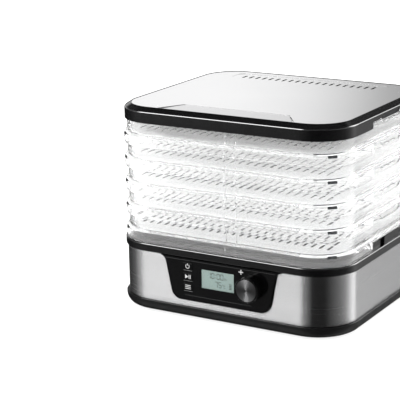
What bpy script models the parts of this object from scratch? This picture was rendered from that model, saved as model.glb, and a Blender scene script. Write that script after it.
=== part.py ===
"""A five-tray food dehydrator with a heated fan base, a stack of clear trays and a steel-topped lid.

Sizes below are in millimetres, and meshes and places are turned into Blender's metres where they are
made. The origin is under the middle of the bounding box, on the surface that the feet stand on. The
front, with the control panel and the knob, faces -Y.
"""
import math

import bmesh
import bpy

MM = 0.001

# Plan: every shell follows the lid's outline, a rectangle with round corners, at some offset from it.
HALF_X = 167.5
HALF_Y = 146.0
CORNER = 55.0
CORNER_STEPS = 5
ROUND_STEPS = 20
GAP = 0.3

# Levels of the base
PAN_BOTTOM = 3.0
PAN_FLOOR = 6.0
PAN_TOP = 18.0
WRAP_TOP = 84.9
DECK_UNDERSIDE = 94.0
DECK_TOP = 97.5
RING_TOP = 96.2
RIM_TOP = 103.3

# Trays: their floors' top faces, counted from the lowest tray
TRAY_COUNT = 5
FIRST_FLOOR = 112.2
TRAY_PITCH = 32.2
TRAY_FLOOR = 3.0
WALL_TOP = TRAY_PITCH - TRAY_FLOOR - GAP
SKIRT_DEPTH = FIRST_FLOOR - RING_TOP - GAP

# Lid
LID_BOTTOM = 258.0
LID_CEILING = FIRST_FLOOR + (TRAY_COUNT - 1) * TRAY_PITCH + WALL_TOP + GAP
LID_LEDGE = 276.6
PLATE_TOP = 278.9
PLATE_OFFSET = -9.8
VENT_COUNT = 20
VENT_PITCH = 10.5
VENT_WIDTH = 3.4
VENT_LENGTH = 15.0
VENT_Y = 102.0

# Grips in the short sides, centred a little behind the middle
GRIP_Y = 16.0
GRIP_HALF = 62.0
GRIP_FLAT = 22.0
GRIP_SLOPE = 24.0

# Control panel
PANEL_FACE = -149.4
PANEL_BACK = -144.5
PANEL_BOTTOM = 27.3
PANEL_TOP = 84.7
PANEL_SIDE = (78.0, 60.0)
PANEL_SLOPE = 0.2
PANEL_CORNER = 15.0
PANEL_FLARE = 9.0
WINDOW = (-3.4, 60.4, 49.0, 26.0)
KEY_X = -48.0
KEY_SIZE = (15.0, 9.0)
KEYS = {"power": 74.4, "start": 60.2, "set": 46.0}
KNOB_X = 47.0
KNOB_Z = 59.7
KNOB_RADIUS = 17.6
BOARD_FRONT = -138.0
BOARD_POSTS = [(-57.0, 38.0), (57.0, 38.0), (-62.0, 76.5), (62.0, 76.5)]

# Fan and heater, on one upright axis
FAN_Y = 8.0
FAN_BLADES = 7
DUCT_RADIUS = 56.0
BOSSES = [(132.0, 60.0), (-132.0, 60.0), (-132.0, -60.0), (132.0, -60.0)]
FEET = [(122.0, -104.0), (122.0, 104.0), (-122.0, 104.0), (-122.0, -104.0)]
BRACKET_SCREWS = [-41.0, 41.0]
LID_SCREWS = [(95.0, -133.5), (95.0, 133.5), (-95.0, 133.5), (-95.0, -133.5)]
INLET = (95.0, 42.0)
BOARD_PLACE = (-92.0, 66.0)

# The knob stands out at the front and the pan's lip at the back: this centres the box on Y.
SHIFT_Y = 7.15

FINISHES = {
    "black_gloss": ((0.012, 0.012, 0.013), 0.18, 0.0),
    "black_matt": ((0.02, 0.02, 0.021), 0.55, 0.0),
    "steel": ((0.72, 0.72, 0.73), 0.28, 1.0),
    "clear": ((0.93, 0.95, 0.96), 0.08, 0.0),
    "lens": ((0.6, 0.7, 0.66), 0.06, 0.0),
    "lcd": ((0.42, 0.5, 0.46), 0.3, 0.0),
    "board": ((0.02, 0.16, 0.07), 0.45, 0.0),
    "knob_metal": ((0.16, 0.16, 0.17), 0.3, 1.0),
    "zinc": ((0.6, 0.6, 0.62), 0.35, 1.0),
    "heater": ((0.32, 0.3, 0.28), 0.45, 1.0),
    "rubber": ((0.025, 0.025, 0.026), 0.85, 0.0),
    "fan_plastic": ((0.05, 0.05, 0.055), 0.5, 0.0),
}


def remove_everything():
    for obj in list(bpy.data.objects):
        bpy.data.objects.remove(obj, do_unlink=True)


def make_finish(name):
    colour, roughness, metallic = FINISHES[name]
    material = bpy.data.materials.new(name)
    material.use_nodes = True
    shader = material.node_tree.nodes["Principled BSDF"]
    shader.inputs["Base Color"].default_value = (*colour, 1.0)
    shader.inputs["Roughness"].default_value = roughness
    shader.inputs["Metallic"].default_value = metallic
    return material


def plan(offset):
    """The lid's outline grown by offset, as points that run anticlockwise."""
    radius = CORNER + offset
    points = []
    for quarter in range(4):
        side_x = 1 if quarter in (0, 3) else -1
        side_y = 1 if quarter in (0, 1) else -1
        for step in range(CORNER_STEPS + 1):
            angle = math.pi / 2 * (quarter + step / CORNER_STEPS)
            x = side_x * (HALF_X - CORNER) + radius * math.cos(angle)
            y = side_y * (HALF_Y - CORNER) + radius * math.sin(angle)
            points.append((x, y))
    return points


def circle(radius, steps=ROUND_STEPS):
    angles = [2 * math.pi * i / steps for i in range(steps)]
    return [(radius * math.cos(a), radius * math.sin(a)) for a in angles]


def arc(centre_x, centre_z, radius, start, end, steps):
    """Points on an arc from start to end, in degrees."""
    angles = [math.radians(start + (end - start) * i / steps) for i in range(steps + 1)]
    return [(centre_x + radius * math.cos(a), centre_z + radius * math.sin(a)) for a in angles]


def skin(loops, ring=False):
    """A closed mesh through loops of points: a ring joins its last loop to its first, and anything else
    is capped at both ends."""
    mesh = bmesh.new()
    rows = [[mesh.verts.new(point) for point in loop] for loop in loops]
    pairs = list(zip(rows, rows[1:]))
    if ring:
        pairs.append((rows[-1], rows[0]))
    else:
        mesh.faces.new(rows[0])
        mesh.faces.new(rows[-1])
    for lower, upper in pairs:
        for i in range(len(lower)):
            j = (i + 1) % len(lower)
            mesh.faces.new((lower[i], lower[j], upper[j], upper[i]))
    bmesh.ops.recalc_face_normals(mesh, faces=mesh.faces)
    return mesh


def add_boxes(mesh, boxes):
    """Adds closed boxes to a mesh: each is (centre, size, turn about Z in degrees)."""
    for centre, size, turn in boxes:
        made = bmesh.ops.create_cube(mesh, size=1.0)["verts"]
        bmesh.ops.scale(mesh, vec=size, verts=made)
        angle = math.radians(turn)
        for vert in made:
            x, y, z = vert.co
            vert.co.x = centre[0] + x * math.cos(angle) - y * math.sin(angle)
            vert.co.y = centre[1] + x * math.sin(angle) + y * math.cos(angle)
            vert.co.z = centre[2] + z
    return mesh


def shell_mesh(profile, ring=False):
    """A profile of (offset, height) points carried round the plan outline."""
    return skin([[(x, y, height) for x, y in plan(offset)] for offset, height in profile], ring)


def turned_mesh(profile, ring=False, steps=ROUND_STEPS):
    """A profile of (radius, height) points turned round Z."""
    return skin([[(x, y, height) for x, y in circle(radius, steps)] for radius, height in profile], ring)


def prism_mesh(outline, low, high, along):
    """An outline carried from low to high along an axis: (x, z) along Y, (y, z) along X, (x, y) along Z."""
    order = {
        "X": lambda u, v, depth: (depth, u, v),
        "Y": lambda u, v, depth: (u, depth, v),
        "Z": lambda u, v, depth: (u, v, depth),
    }[along]
    return skin([[order(u, v, depth) for u, v in outline] for depth in (low, high)])


def boxes_mesh(boxes):
    return add_boxes(bmesh.new(), boxes)


def posts_mesh(places, radius, low, high, steps=8):
    """Upright round posts at (x, y) places, as separate bodies in one mesh."""
    mesh = bmesh.new()
    for x, y in places:
        rows = [[mesh.verts.new((x + u, y + v, z)) for u, v in circle(radius, steps)] for z in (low, high)]
        mesh.faces.new(reversed(rows[0]))
        mesh.faces.new(rows[1])
        for i in range(steps):
            j = (i + 1) % steps
            mesh.faces.new((rows[0][i], rows[0][j], rows[1][j], rows[1][i]))
    return mesh


class Assembly:
    """Adds named pieces under one empty that carries the whole appliance."""

    def __init__(self):
        self.root = bpy.data.objects.new("assembly", None)
        self.root.location = (0.0, SHIFT_Y * MM, 0.0)
        bpy.context.scene.collection.objects.link(self.root)
        self.finishes = {name: make_finish(name) for name in FINISHES}

    def add(self, name, mesh, finish, at=(0.0, 0.0, 0.0), turn=(0.0, 0.0, 0.0), smooth=True):
        bmesh.ops.scale(mesh, vec=(MM, MM, MM), verts=mesh.verts)
        data = bpy.data.meshes.new(name)
        mesh.to_mesh(data)
        mesh.free()
        if smooth:
            data.shade_smooth()
            data.set_sharp_from_angle(angle=math.radians(35))
        return self.place(name, data, finish, at, turn)

    def place(self, name, data, finish, at, turn=(0.0, 0.0, 0.0)):
        obj = bpy.data.objects.new(name, data)
        if finish and not data.materials:
            data.materials.append(self.finishes[finish])
        obj.location = [value * MM for value in at]
        obj.rotation_euler = [math.radians(value) for value in turn]
        obj.parent = self.root
        bpy.context.scene.collection.objects.link(obj)
        return obj

    def tool(self, name, mesh, at=(0.0, 0.0, 0.0), turn=(0.0, 0.0, 0.0)):
        """A shape that only cuts or joins: it isn't a piece."""
        obj = self.add(name, mesh, None, at, turn, smooth=False)
        obj.hide_render = True
        obj.display_type = "WIRE"
        return obj


def combine(obj, operation, *tools):
    for tool in tools:
        modifier = obj.modifiers.new(operation.lower(), "BOOLEAN")
        modifier.operation = operation
        modifier.solver = "EXACT"
        modifier.object = tool


def cut(obj, *tools):
    combine(obj, "DIFFERENCE", *tools)


def join(obj, *tools):
    combine(obj, "UNION", *tools)


TO_FRONT = (90.0, 0.0, 0.0)
TO_BACK = (-90.0, 0.0, 0.0)


def screw_mesh(shank_radius, length, head_radius, head_height):
    """A pan-head screw that points down from its head's underside at height 0."""
    profile = [
        (shank_radius * 0.6, -length),
        (shank_radius, -length + 1.0),
        (shank_radius, 0.0),
        (head_radius, 0.0),
        (head_radius, head_height * 0.6),
        (head_radius * 0.7, head_height),
    ]
    return turned_mesh(profile, steps=8)


def add_screws(kit, name, mesh, places, turn=(0.0, 0.0, 0.0)):
    """Screws that share one mesh, each its own piece."""
    first = kit.add(f"{name}_1", mesh, "zinc", places[0], turn)
    for number, place in enumerate(places[1:], 2):
        kit.place(f"{name}_{number}", first.data, "zinc", place, turn)


def panel_outline(grow=0.0, top=PANEL_TOP):
    """The control panel's front outline: straight foot, round lower corners, sloping sides and
    corners that flare out to the deck at the top."""
    slope_angle = math.degrees(math.atan(PANEL_SLOPE))
    across = math.hypot(1.0, PANEL_SLOPE)
    side_x = PANEL_SIDE[0] + grow * across
    bottom = PANEL_BOTTOM - grow
    corner = PANEL_CORNER + grow
    corner_z = bottom + corner
    corner_x = side_x - PANEL_SLOPE * (PANEL_SIDE[1] - corner_z) - across * corner
    flare = PANEL_FLARE - grow
    flare_z = PANEL_TOP - PANEL_FLARE
    flare_x = side_x - PANEL_SLOPE * (PANEL_SIDE[1] - flare_z) + across * flare
    right = arc(corner_x, corner_z, corner, -90.0, -slope_angle, 6)
    right += arc(flare_x, flare_z, flare, 180.0 - slope_angle, 96.0, 4)
    right.append((flare_x + grow, PANEL_TOP - grow))
    if top > PANEL_TOP:
        right.append((flare_x + grow, top))
    return right + [(-x, z) for x, z in reversed(right)]


def grip_outline(foot, step, crown):
    """A grip's cut in the (y, z) plane: upright ends up to step, then slopes to a flat crown."""
    low = GRIP_Y - GRIP_HALF
    high = GRIP_Y + GRIP_HALF
    return [
        (low, foot),
        (high, foot),
        (high, step),
        (GRIP_Y + GRIP_FLAT + GRIP_SLOPE, step),
        (GRIP_Y + GRIP_FLAT, crown),
        (GRIP_Y - GRIP_FLAT, crown),
        (GRIP_Y - GRIP_FLAT - GRIP_SLOPE, step),
        (low, step),
    ]


def vent_boxes(low, high, count=VENT_COUNT, width=VENT_WIDTH):
    """The row of outlet slots across the back of the lid."""
    pitch = VENT_COUNT * VENT_PITCH / count
    middle = (low + high) / 2
    centres = [pitch * (i - (count - 1) / 2) for i in range(count)]
    return [((x, VENT_Y, middle), (width, VENT_LENGTH, high - low), 0.0) for x in centres]


def build_pan(kit):
    profile = [
        (-8.0, PAN_BOTTOM), (-3.4, 3.3), (0.2, 5.6), (2.8, 9.4), (4.0, 13.6), (4.2, PAN_TOP),
        (-1.4, PAN_TOP), (-1.4, 27.0), (-3.4, 27.0), (-3.4, PAN_FLOOR),
    ]
    pan = kit.add("base_pan", shell_mesh(profile), "black_matt")
    board_x, board_y = BOARD_PLACE
    posts = [(board_x + x, board_y + y) for x in (-27.0, 27.0) for y in (-23.0, 23.0)]
    join(pan, kit.tool("pan_posts", posts_mesh(posts, 3.0, 5.0, 11.7)))
    slots = []
    for row_y in (FAN_Y - 46.0, FAN_Y + 46.0):
        slots += [((x, row_y, 4.5), (3.6, 48.0, 6.0), 0.0) for x in range(-40, 41, 10)]
    cut(pan, kit.tool("intake_slots", boxes_mesh(slots)))
    cut(pan, kit.tool("foot_holes", posts_mesh(FEET, 3.3, 0.0, 8.0)))
    cut(pan, kit.tool("pan_screw_holes", posts_mesh(BOSSES, 2.0, 0.0, 8.0)))
    cut(pan, kit.tool("pan_counterbores", posts_mesh(BOSSES, 4.2, 0.0, 4.6)))
    bracket_holes = [(x, FAN_Y) for x in BRACKET_SCREWS]
    cut(pan, kit.tool("bracket_holes", posts_mesh(bracket_holes, 1.8, 0.0, 8.0)))


def build_feet(kit):
    profile = [(8.4, 0.0), (9.0, 0.8), (9.0, PAN_BOTTOM - GAP), (3.0, PAN_BOTTOM - GAP), (3.0, 8.0), (2.2, 9.0)]
    first = kit.add("foot_1", turned_mesh(profile, steps=12), "rubber", (*FEET[0], 0.0))
    for number, (x, y) in enumerate(FEET[1:], 2):
        kit.place(f"foot_{number}", first.data, "rubber", (x, y, 0.0))
    places = [(x, y, 4.4) for x, y in BOSSES]
    add_screws(kit, "base_screw", screw_mesh(1.5, 13.0, 3.6, 1.2), places, (180.0, 0.0, 0.0))


def build_wrap(kit):
    foot = PAN_TOP + GAP
    profile = [(0.4, foot), (0.4, WRAP_TOP), (-0.8, WRAP_TOP), (-0.8, foot)]
    wrap = kit.add("steel_wrap", shell_mesh(profile, ring=True), "steel")
    opening = prism_mesh(panel_outline(GAP, WRAP_TOP + 5.0), -155.0, -138.0, "Y")
    cut(wrap, kit.tool("panel_opening", opening))
    hole = turned_mesh([(8.6, -8.0), (8.6, 8.0)], steps=16)
    cut(wrap, kit.tool("inlet_hole", hole, (INLET[0], HALF_Y, INLET[1]), TO_BACK))


def build_deck(kit):
    profile = [
        (-4.2, DECK_UNDERSIDE), (-4.2, 81.0), (-2.2, 81.0), (-2.2, WRAP_TOP + 0.4), (2.3, WRAP_TOP + 0.4),
        (2.9, 86.4), (2.9, 93.8), (1.4, RING_TOP), (-3.6, RING_TOP), (-3.6, RIM_TOP), (-5.4, RIM_TOP),
        (-5.4, DECK_TOP),
    ]
    deck = kit.add("base_deck", shell_mesh(profile), "black_gloss")
    collar = turned_mesh([(60.2, 86.0), (60.2, 95.0), (58.2, 95.0), (58.2, 86.0)], ring=True, steps=28)
    join(deck, kit.tool("duct_collar", collar, (0.0, FAN_Y, 0.0)))
    join(deck, kit.tool("deck_bosses", posts_mesh(BOSSES, 4.5, PAN_FLOOR + GAP, 95.0)))
    lugs = [((side * 163.0, GRIP_Y, 101.8), (8.0, 2 * GRIP_FLAT, 13.4), 0.0) for side in (-1, 1)]
    join(deck, kit.tool("side_lugs", boxes_mesh(lugs)))
    outlet = turned_mesh([(57.0, 80.0), (57.0, 110.0)], steps=28)
    cut(deck, kit.tool("outlet_hole", outlet, (0.0, FAN_Y, 0.0)))
    cut(deck, kit.tool("boss_holes", posts_mesh(BOSSES, 1.8, 0.0, 20.0)))
    cut(deck, kit.tool("sensor_hole", posts_mesh([(72.0, FAN_Y)], 2.6, 80.0, 110.0)))


def build_panel(kit):
    panel = kit.add("control_panel", prism_mesh(panel_outline(), PANEL_FACE, PANEL_BACK, "Y"), "black_gloss")
    posts = turned_mesh([(3.0, -1.0), (3.0, -PANEL_BACK + BOARD_FRONT - GAP)], steps=10)
    pilots = turned_mesh([(1.5, 1.0), (1.5, 20.0)], steps=8)
    for number, (x, z) in enumerate(BOARD_POSTS, 1):
        join(panel, kit.tool(f"board_post_{number}", posts.copy(), (x, PANEL_BACK, z), TO_BACK))
        cut(panel, kit.tool(f"board_pilot_{number}", pilots.copy(), (x, PANEL_BACK, z), TO_BACK))
    posts.free()
    pilots.free()
    middle = (PANEL_FACE + PANEL_BACK) / 2
    window_x, window_z, window_width, window_height = WINDOW
    openings = [((window_x, middle, window_z), (window_width, 10.0, window_height), 0.0)]
    for height in KEYS.values():
        openings.append(((KEY_X, middle, height), (KEY_SIZE[0] + 0.8, 10.0, KEY_SIZE[1] + 0.8), 0.0))
    cut(panel, kit.tool("panel_openings", boxes_mesh(openings)))
    bush = turned_mesh([(4.6, -10.0), (4.6, 10.0)], steps=16)
    cut(panel, kit.tool("encoder_hole", bush, (KNOB_X, middle, KNOB_Z), TO_FRONT))


def front_box(x, z, width, height, front, back):
    """One box that faces the front, between two depths."""
    return boxes_mesh([((x, (front + back) / 2, z), (width, back - front, height), 0.0)])


def build_display(kit):
    x, z, width, height = WINDOW
    lens = front_box(x, z, width - 2 * GAP, height - 2 * GAP, -149.2, -147.7)
    kit.add("lcd_lens", lens, "lens", smooth=False)
    module = front_box(x, z, width - 0.8, height - 0.8, -147.3, BOARD_FRONT - GAP)
    kit.add("lcd_module", module, "lcd", smooth=False)
    board = front_box(0.0, 57.2, 132.0, 46.0, BOARD_FRONT, BOARD_FRONT + 1.6)
    board_node = kit.add("control_board", board, "board", smooth=False)
    hole = turned_mesh([(1.5, -6.0), (1.5, 6.0)], steps=8)
    places = []
    for number, (post_x, post_z) in enumerate(BOARD_POSTS, 1):
        cut(board_node, kit.tool(f"board_hole_{number}", hole.copy(), (post_x, BOARD_FRONT, post_z), TO_BACK))
        places.append((post_x, BOARD_FRONT + 1.6 + GAP, post_z))
    hole.free()
    add_screws(kit, "board_screw", screw_mesh(1.2, 6.0, 2.6, 1.6), places, TO_BACK)


def build_keys(kit):
    for name, height in KEYS.items():
        key = boxes_mesh([((0.0, 3.9, 0.0), (KEY_SIZE[0], 8.2, KEY_SIZE[1]), 0.0)])
        key_front = PANEL_FACE - 0.2
        kit.add(f"{name}_key", key, "black_gloss", (KEY_X, key_front, height), smooth=False)
        switch = front_box(KEY_X, height, 6.0, 6.0, BOARD_FRONT - 2.4, BOARD_FRONT - GAP)
        kit.add(f"{name}_switch", switch, "black_matt", smooth=False)


def build_knob(kit):
    """The knob and its rotary encoder, on an axis that runs out of the panel's face."""
    place = (KNOB_X, PANEL_FACE, KNOB_Z)
    profile = [
        (3.3, 9.4), (3.3, 0.4), (KNOB_RADIUS - 0.6, 0.4), (KNOB_RADIUS, 1.0), (KNOB_RADIUS - 0.5, 13.8),
        (KNOB_RADIUS - 1.3, 15.1), (KNOB_RADIUS - 2.2, 15.1), (KNOB_RADIUS - 2.6, 14.7),
    ]
    kit.add("control_knob", turned_mesh(profile, steps=28), "knob_metal", place, TO_FRONT)
    shaft = turned_mesh([(3.0, -8.7), (3.0, 9.1)], steps=16)
    kit.add("encoder_shaft", shaft, "zinc", place, TO_FRONT)
    body = [(3.3, -9.2), (3.3, -0.4), (4.2, -0.4), (4.2, -5.4), (6.5, -5.4), (6.5, -11.0)]
    kit.add("encoder_body", turned_mesh(body, steps=16), "zinc", place, TO_FRONT)


def build_fan(kit):
    place = (0.0, FAN_Y, 0.0)
    strap = [(-50, 6.3), (-32, 6.3), (-32, 16), (32, 16), (32, 6.3), (50, 6.3), (50, 8.3), (34, 8.3), (34, 18),
             (-34, 18), (-34, 8.3), (-50, 8.3)]
    bracket = kit.add("motor_bracket", prism_mesh(strap, -18.0, 18.0, "Y"), "zinc", place, smooth=False)
    holes = [(x, 0.0) for x in BRACKET_SCREWS]
    cut(bracket, kit.tool("strap_holes", posts_mesh(holes, 1.9, 0.0, 12.0), place))
    places = [(x, FAN_Y, 8.3 + GAP) for x in BRACKET_SCREWS]
    add_screws(kit, "bracket_screw", screw_mesh(1.5, 5.0, 3.0, 1.6), places)

    can = [
        (24.0, 18.3), (24.0, 42.0), (22.0, 44.0), (7.0, 44.0), (7.0, 47.0), (2.8, 47.0), (2.8, 24.0),
    ]
    kit.add("fan_motor", turned_mesh(can), "zinc", place)
    kit.add("motor_shaft", turned_mesh([(2.5, 24.4), (2.5, 65.0)], steps=12), "steel", place)
    hub = [(2.8, 49.0), (12.0, 49.0), (12.0, 63.0), (10.0, 64.5), (2.8, 64.5)]
    impeller = kit.add("fan_impeller", turned_mesh(hub, ring=True), "fan_plastic", place)
    blade_mesh = boxes_mesh([((0.0, 0.0, 0.0), (39.5, 22.0, 1.6), 0.0)])
    for number in range(FAN_BLADES):
        angle = 2 * math.pi * number / FAN_BLADES
        middle = 30.5
        at = (middle * math.cos(angle), FAN_Y + middle * math.sin(angle), 57.0)
        turn = (28.0, 0.0, math.degrees(angle))
        join(impeller, kit.tool(f"blade_{number + 1}", blade_mesh.copy(), at, turn))
    blade_mesh.free()

    duct = [(DUCT_RADIUS, 46.0), (DUCT_RADIUS + 1.5, 46.0), (DUCT_RADIUS + 1.5, 93.6), (DUCT_RADIUS, 93.6)]
    kit.add("fan_duct", turned_mesh(duct, ring=True, steps=28), "zinc", place)
    grille = kit.add("outlet_grille", turned_mesh([(56.5, 94.2), (56.5, 97.2)], steps=28), "black_matt", place)
    spokes = 16
    slots = []
    for number in range(spokes):
        turn = 360.0 * number / spokes
        angle = math.radians(turn)
        slots.append(((35.0 * math.cos(angle), 35.0 * math.sin(angle), 95.7), (34.0, 3.4, 8.0), turn))
    cut(grille, kit.tool("grille_slots", boxes_mesh(slots), place))


def build_heater(kit):
    place = (0.0, FAN_Y, 0.0)
    bars = boxes_mesh([((0.0, 0.0, 71.0), (111.0, 9.0, 1.4), 0.0)])
    support = kit.add("heater_support", bars, "zinc", place, smooth=False)
    join(support, kit.tool("cross_bar", boxes_mesh([((0.0, 0.0, 71.0), (9.0, 111.0, 1.4), 0.0)]), place))
    tube = 3.2
    section = [(38.0 + tube * math.cos(a), 75.3 + tube * math.sin(a)) for a in
               [2 * math.pi * i / 6 for i in range(6)]]
    kit.add("heating_element", turned_mesh(section, ring=True, steps=24), "heater", place)
    cutout = [(9.0, 72.0), (9.0, 75.5), (6.5, 76.0), (6.5, 79.0)]
    kit.add("thermal_cutout", turned_mesh(cutout, steps=16), "black_matt", place)
    fuse = turned_mesh([(2.0, -6.5), (2.0, 6.5)], steps=10)
    kit.add("thermal_fuse", fuse, "zinc", (21.0, FAN_Y, 74.0), (0.0, 90.0, 0.0))
    probe = [(4.2, DECK_UNDERSIDE - 3.0), (4.2, DECK_UNDERSIDE - GAP), (2.2, DECK_UNDERSIDE - GAP), (2.2, 101.0),
             (1.4, 102.0)]
    kit.add("temperature_probe", turned_mesh(probe, steps=12), "steel", (72.0, FAN_Y, 0.0))


def build_power(kit):
    x, y = BOARD_PLACE
    board = boxes_mesh([((x, y, 12.8), (64.0, 56.0, 1.6), 0.0)])
    kit.add("power_board", board, "board", smooth=False)
    relay = boxes_mesh([((x + 18.0, y + 12.0, 21.4), (18.0, 14.0, 15.0), 0.0)])
    kit.add("heater_relay", relay, "black_matt", smooth=False)
    transformer = boxes_mesh([((x - 13.0, y - 8.0, 24.9), (28.0, 24.0, 22.0), 0.0)])
    kit.add("transformer", transformer, "fan_plastic", smooth=False)
    gland = [(4.0, -8.0), (8.2, -8.0), (8.2, GAP), (11.0, GAP), (11.0, 1.8), (9.4, 3.0), (4.0, 3.0)]
    place = (INLET[0], HALF_Y + 0.4, INLET[1])
    kit.add("cord_gland", turned_mesh(gland, ring=True, steps=20), "rubber", place, TO_BACK)


def build_tray(kit, number):
    """A clear tray: a slotted floor, a wall that the next tray's floor rests on, and a bulged skirt
    below that hides the wall of the tray underneath."""
    name = f"tray_{number}"
    place = (0.0, 0.0, FIRST_FLOOR + (number - 1) * TRAY_PITCH)
    profile = [
        (-6.0, -TRAY_FLOOR), (-1.2, -TRAY_FLOOR), (-1.6, -SKIRT_DEPTH), (0.4, -SKIRT_DEPTH), (1.5, -11.0),
        (1.5, -5.0), (0.4, -0.6), (-2.4, 1.6), (-3.0, 5.0), (-3.0, WALL_TOP), (-5.0, WALL_TOP), (-5.0, 0.0),
    ]
    tray = kit.add(name, shell_mesh(profile), "clear", place)
    slots = []
    for row_y in (-60.0, 60.0):
        slots += [((x, row_y, -1.5), (12.0, 104.0, 8.0), 0.0) for x in range(-126, 127, 36)]
    cut(tray, kit.tool(f"{name}_slots", boxes_mesh(slots), place))
    notch = [
        (GRIP_Y - GRIP_HALF, -SKIRT_DEPTH - 2.0), (GRIP_Y + GRIP_HALF, -SKIRT_DEPTH - 2.0),
        (GRIP_Y + GRIP_HALF, -TRAY_FLOOR - GAP), (GRIP_Y - GRIP_HALF, -TRAY_FLOOR - GAP),
    ]
    for side, low, high in (("left", -175.0, -164.6), ("right", 164.6, 175.0)):
        cut(tray, kit.tool(f"{name}_notch_{side}", prism_mesh(notch, low, high, "X"), place))
    dip_slope = 18.0
    dip = [
        (GRIP_Y - GRIP_FLAT - dip_slope, WALL_TOP + 1.0), (GRIP_Y - GRIP_FLAT, 19.0),
        (GRIP_Y + GRIP_FLAT, 19.0), (GRIP_Y + GRIP_FLAT + dip_slope, WALL_TOP + 1.0),
    ]
    cut(tray, kit.tool(f"{name}_dips", prism_mesh(dip, -180.0, 180.0, "X"), place))


def build_lid(kit):
    profile = [
        (0.0, LID_BOTTOM), (0.0, 273.4), (-0.8, 275.2), (-9.4, 278.6), (-9.4, LID_LEDGE), (-16.0, LID_LEDGE),
        (-16.0, 274.6), (-6.2, 274.6), (-6.2, LID_CEILING), (-2.0, LID_CEILING), (-2.0, LID_BOTTOM),
    ]
    frame = kit.add("lid_frame", shell_mesh(profile, ring=True), "black_gloss")
    grip = grip_outline(LID_BOTTOM - 4.0, 266.6, 271.2)
    for side, low, high in (("left", -172.0, -165.3), ("right", 165.3, 172.0)):
        cut(frame, kit.tool(f"lid_grip_{side}", prism_mesh(grip, low, high, "X")))
    cut(frame, kit.tool("lid_screw_holes", posts_mesh(LID_SCREWS, 1.7, 270.0, LID_LEDGE + 0.2)))

    seal_profile = [(-8.2, 262.0), (-6.5, 262.0), (-6.5, 274.3), (-8.2, 274.3)]
    kit.add("lid_seal", shell_mesh(seal_profile, ring=True), "rubber")

    plate_profile = [(PLATE_OFFSET, LID_LEDGE + GAP), (PLATE_OFFSET, PLATE_TOP)]
    plate = kit.add("lid_plate", shell_mesh(plate_profile), "steel")
    front = -HALF_Y - PLATE_OFFSET - 1.0
    recess = [(-99.0, front), (99.0, front), (76.0, -101.0), (-76.0, -101.0)]
    cut(plate, kit.tool("plate_recess", prism_mesh(recess, PLATE_TOP - 1.1, PLATE_TOP + 2.0, "Z")))
    strip = boxes_mesh([((0.0, 106.0, PLATE_TOP), (236.0, 30.0, 1.0), 0.0)])
    cut(plate, kit.tool("vent_strip", strip))
    cut(plate, kit.tool("plate_vents", boxes_mesh(vent_boxes(270.0, 285.0))))

    liner = kit.add("lid_liner", shell_mesh([(-8.8, 272.6), (-8.8, 274.2)]), "black_matt")
    cut(liner, kit.tool("liner_vents", boxes_mesh(vent_boxes(268.0, 275.0, 10, 14.0))))
    cut(liner, kit.tool("liner_holes", posts_mesh(LID_SCREWS, 1.8, 270.0, 276.0)))
    places = [(x, y, 272.3) for x, y in LID_SCREWS]
    add_screws(kit, "lid_screw", screw_mesh(1.4, 3.9, 2.8, 1.3), places, (180.0, 0.0, 0.0))


def main():
    remove_everything()
    kit = Assembly()
    build_pan(kit)
    build_feet(kit)
    build_wrap(kit)
    build_deck(kit)
    build_panel(kit)
    build_display(kit)
    build_keys(kit)
    build_knob(kit)
    build_fan(kit)
    build_heater(kit)
    build_power(kit)
    for number in range(1, TRAY_COUNT + 1):
        build_tray(kit, number)
    build_lid(kit)


main()
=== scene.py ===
"""The looks of a five-tray food dehydrator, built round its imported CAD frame.

Sizes below are in millimetres unless a name says otherwise. Levels and sides are read from the frame,
and the constants give what the frame doesn't say: fillets, slots, prints and finishes.
"""
import math

import bmesh
import bpy
from mathutils import Matrix, Vector
from mathutils.geometry import delaunay_2d_cdt


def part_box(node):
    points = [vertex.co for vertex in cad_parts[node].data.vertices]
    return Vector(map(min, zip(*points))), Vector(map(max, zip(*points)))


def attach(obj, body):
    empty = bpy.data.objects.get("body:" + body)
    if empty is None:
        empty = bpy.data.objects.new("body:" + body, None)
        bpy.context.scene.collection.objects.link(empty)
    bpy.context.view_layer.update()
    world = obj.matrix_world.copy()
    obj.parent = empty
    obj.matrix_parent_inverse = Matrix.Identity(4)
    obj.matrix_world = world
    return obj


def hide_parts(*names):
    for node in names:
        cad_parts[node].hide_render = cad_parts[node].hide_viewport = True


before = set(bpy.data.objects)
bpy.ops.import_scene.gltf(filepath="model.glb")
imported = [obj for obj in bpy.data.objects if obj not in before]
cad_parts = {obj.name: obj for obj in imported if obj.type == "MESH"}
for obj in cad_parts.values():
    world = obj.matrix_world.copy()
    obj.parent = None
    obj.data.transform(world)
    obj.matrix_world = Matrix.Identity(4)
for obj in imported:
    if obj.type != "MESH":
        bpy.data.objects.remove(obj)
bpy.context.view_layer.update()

MM = 0.001

# Plan of every shell: a rectangle with round corners, grown or shrunk by an offset
CORNER = 55.0
CORNER_STEPS = 22
FLAT_MARGIN = 4.0

# Grips in the short sides
GRIP_Y = 16.0
GRIP_HALF = 62.0
GRIP_FLAT = 22.0
LID_SLOPE = 24.0
DIP_SLOPE = 18.0
STEP_RUN = 0.4

# How far the steel plate lies below the lid frame's rim
PLATE_DROP = 0.8

# The shallow scoop in the front of the plate: its depth at the back, and the slope of its floor
SCOOP_DEPTH = 0.35
SCOOP_SLOPE = 0.021

# The scoop's back edge and half length, and the row of vents
SCOOP_BACK = -101.0
SCOOP_HALF = 99.0
VENT_COUNT = 20
VENT_PITCH = 10.5
VENT_WIDTH = 3.4
VENT_LENGTH = 15.0
VENT_Y = 102.0

# How far upward the faces of a rounded edge that take the painted highlight look, as the height of their
# unit normals
EDGE_LOW = 0.1
EDGE_HIGH = 0.8

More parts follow.
